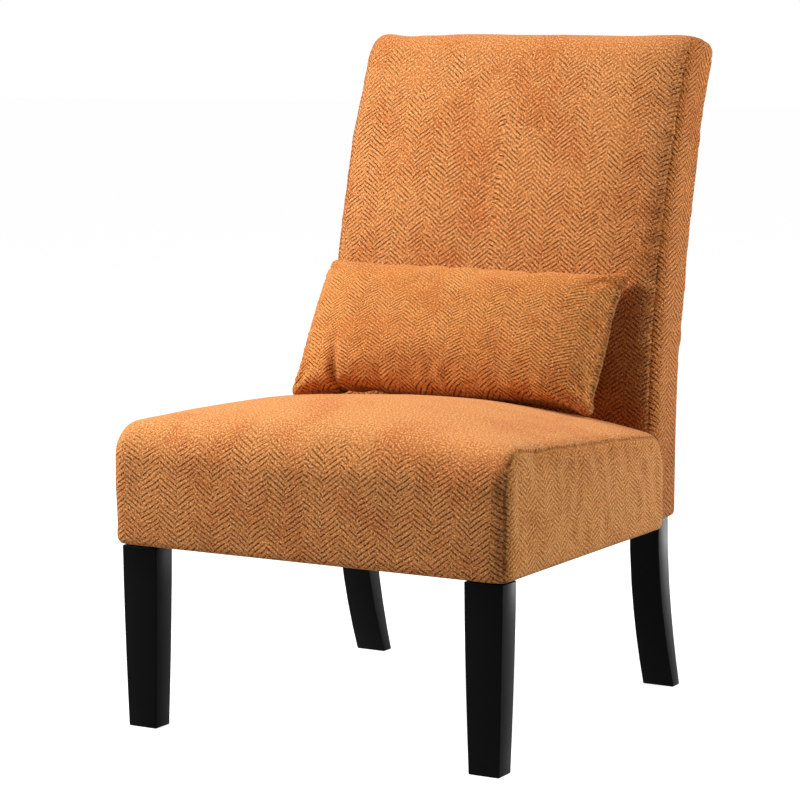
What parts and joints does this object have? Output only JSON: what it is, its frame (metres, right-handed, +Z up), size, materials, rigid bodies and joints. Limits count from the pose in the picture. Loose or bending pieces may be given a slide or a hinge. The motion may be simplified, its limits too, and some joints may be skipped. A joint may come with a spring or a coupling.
{
  "type": "slipper chair",
  "caption": "Armless upholstered chair with a domed seat, a curved back, tapered front legs, swept rear legs and a loose lumbar pillow.",
  "frame": {"origin": "on the floor under the middle of the bounding box", "axes": "+Z up; the chair faces -Y; +X is on the right of someone who looks along +Y at its front"},
  "size_m": [0.57, 0.6654, 0.89],
  "materials": {
    "chenille": "orange herringbone chenille",
    "black_wood": "satin black lacquer on solid wood",
    "pine": "bare softwood",
    "foam": "open-cell foam",
    "fibre_fill": "polyester fibre in a plain casing",
    "webbing": "elastic webbing",
    "felt": "pressed felt",
    "cambric": "black non-woven dust cover",
    "zinc_steel": "zinc plated"
  },
  "bodies": {
    "chair": {"seat_cover_main_panel": "chenille", "seat_cover_side_panel_left": "chenille", "seat_cover_side_panel_right": "chenille", "back_cover_front_panel": "chenille", "back_cover_side_panel_left": "chenille", "back_cover_side_panel_right": "chenille", "back_cover_rear_panel": "chenille", "back_rear_wadding": "fibre_fill", "front_leg_left": "black_wood", "rear_post_left": "black_wood", "front_leg_hanger_bolt_left": "zinc_steel", "front_leg_insert_nut_left": "zinc_steel", "seat_side_rail_left": "pine", "corner_block_front_left": "pine", "corner_block_rear_left": "pine", "front_leg_right": "black_wood", "rear_post_right": "black_wood", "front_leg_hanger_bolt_right": "zinc_steel", "front_leg_insert_nut_right": "zinc_steel", "seat_side_rail_right": "pine", "corner_block_front_right": "pine", "corner_block_rear_right": "pine", "seat_front_rail": "pine", "seat_rear_rail": "pine", "back_bottom_rail": "pine", "back_middle_rail": "pine", "back_top_rail": "pine", "back_mounting_rail": "pine", "seat_webbing_lengthwise_1": "webbing", "seat_webbing_crosswise_1": "webbing", "back_webbing_1": "webbing", "seat_webbing_lengthwise_2": "webbing", "seat_webbing_crosswise_2": "webbing", "back_webbing_2": "webbing", "seat_webbing_lengthwise_3": "webbing", "seat_webbing_crosswise_3": "webbing", "back_webbing_3": "webbing", "seat_to_back_bolt_1": "zinc_steel", "tee_nut_1": "zinc_steel", "seat_to_back_bolt_2": "zinc_steel", "tee_nut_2": "zinc_steel", "seat_to_back_bolt_3": "zinc_steel", "tee_nut_3": "zinc_steel", "seat_to_back_bolt_4": "zinc_steel", "tee_nut_4": "zinc_steel", "seat_deck_pad": "felt", "seat_foam": "foam", "back_foam": "foam", "seat_dust_cover": "cambric"},
    "pillow": {"pillow_front_panel": "chenille", "pillow_back_panel": "chenille", "pillow_insert": "fibre_fill"}
  },
  "joints": [
    {"name": "pillow_lift", "type": "slide", "parent": "chair", "child": "pillow", "axis": [0, 0, 1], "range_m": [0, 0.35]}
  ]
}
